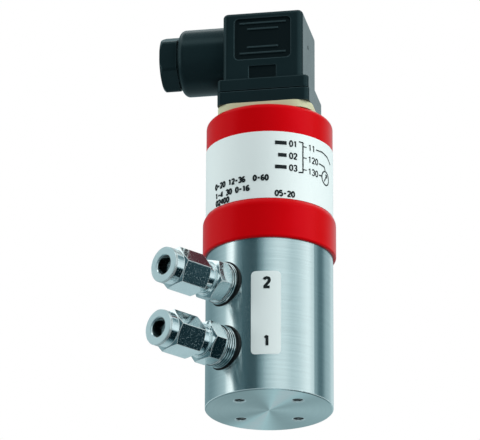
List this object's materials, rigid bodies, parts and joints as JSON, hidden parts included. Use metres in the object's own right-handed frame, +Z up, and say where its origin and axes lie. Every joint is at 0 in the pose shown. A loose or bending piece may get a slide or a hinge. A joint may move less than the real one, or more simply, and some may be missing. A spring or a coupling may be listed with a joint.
{
  "type": "differential pressure transmitter",
  "caption": "Cylindrical differential pressure transmitter with a steel body, tube fittings on its side, a moulded electronics housing and an angled cable plug.",
  "frame": {"origin": "centre of the flat base", "axes": "+Z up the body's axis to the cable plug, -Y out of both ports"},
  "size_m": [0.0549, 0.0698, 0.1325],
  "materials": {
    "steel": "circumferential fine brushing",
    "nickel": "bright nickel plating",
    "red_plastic": "semi gloss moulding",
    "black_plastic": "satin moulding",
    "seal_rubber": "smooth",
    "cream_gasket": "smooth moulded sheet",
    "label_film": "satin printed film",
    "contact_metal": "tinned",
    "plated_steel": "zinc plated",
    "brass": "turned",
    "board_green": "solder mask",
    "bead_glass": "fused"
  },
  "bodies": {
    "transmitter": {"pressure_body": "steel", "sensor_cell": "steel", "cell_diaphragms": "steel", "cell_seal": "seal_rubber", "cell_retaining_ring": "steel", "closing_plug": "steel", "closing_plug_seal": "seal_rubber", "feedthrough_glass": "bead_glass", "feedthrough_pins": "contact_metal", "electronics_housing": "red_plastic", "housing_seal": "seal_rubber", "wrap_label": "label_film", "port_label": "label_film", "circuit_board": "board_green", "board_standoffs": "brass", "board_screws": "plated_steel", "board_components": "black_plastic", "connector_gasket": "cream_gasket", "connector_base": "black_plastic", "base_screws": "plated_steel", "centre_insert": "brass", "contact_blades": "contact_metal", "earth_blade": "contact_metal", "connector_leads": "contact_metal", "lower_fitting": "nickel", "lower_fitting_seal": "seal_rubber", "upper_fitting": "nickel", "upper_fitting_seal": "seal_rubber"},
    "plug": {"plug_housing": "black_plastic", "plug_gasket": "seal_rubber", "terminal_insert": "black_plastic", "contact_sockets": "contact_metal", "terminal_screws": "plated_steel", "gland_seal": "seal_rubber"},
    "screw_collar": {"screw_washer": "seal_rubber"},
    "plug_screw": {"plug_screw": "plated_steel"},
    "gland_push": {"gland_washer": "plated_steel"},
    "gland_nut": {"gland_nut": "black_plastic"},
    "upper_ring": {"upper_cutting_ring": "nickel"},
    "upper_nut": {"upper_union_nut": "nickel"},
    "lower_ring": {"lower_cutting_ring": "nickel"},
    "lower_nut": {"lower_union_nut": "nickel"}
  },
  "joints": [
    {"name": "plug_slide", "type": "slide", "parent": "transmitter", "child": "plug", "axis": [0, 0, 1], "range_m": [0, 0.016]},
    {"name": "screw_lift", "type": "slide", "parent": "plug", "child": "screw_collar", "axis": [0, 0, 1], "range_m": [0, 0.004]},
    {"name": "screw_turn", "type": "hinge", "parent": "screw_collar", "child": "plug_screw", "pos_m": [0, 0, 0.12], "axis": [0, 0, 1], "range_deg": [0, 2880]},
    {"name": "gland_travel", "type": "slide", "parent": "plug", "child": "gland_push", "axis": [-0.808, -0.5892, 0], "range_m": [0, 0.0045]},
    {"name": "gland_turn", "type": "hinge", "parent": "gland_push", "child": "gland_nut", "pos_m": [-0.0202, -0.01473, 0.12145], "axis": [-0.808, -0.5892, 0], "range_deg": [0, 1080]},
    {"name": "upper_ring_travel", "type": "slide", "parent": "transmitter", "child": "upper_ring", "axis": [0, -1, 0], "range_m": [0, 0.004]},
    {"name": "upper_nut_turn", "type": "hinge", "parent": "upper_ring", "child": "upper_nut", "pos_m": [0, -0.03735, 0.03745], "axis": [0, -1, 0], "range_deg": [0, 1440]},
    {"name": "lower_ring_travel", "type": "slide", "parent": "transmitter", "child": "lower_ring", "axis": [0, -1, 0], "range_m": [0, 0.004]},
    {"name": "lower_nut_turn", "type": "hinge", "parent": "lower_ring", "child": "lower_nut", "pos_m": [0, -0.0394, 0.016], "axis": [0, -1, 0], "range_deg": [0, 1440]}
  ],
  "couplings": [
    {"joint": "screw_turn", "follows": "screw_lift", "rad_per_m": 12566},
    {"joint": "gland_turn", "follows": "gland_travel", "rad_per_m": 4188.8},
    {"joint": "upper_nut_turn", "follows": "upper_ring_travel", "rad_per_m": 6283.2},
    {"joint": "lower_nut_turn", "follows": "lower_ring_travel", "rad_per_m": 6283.2}
  ]
}
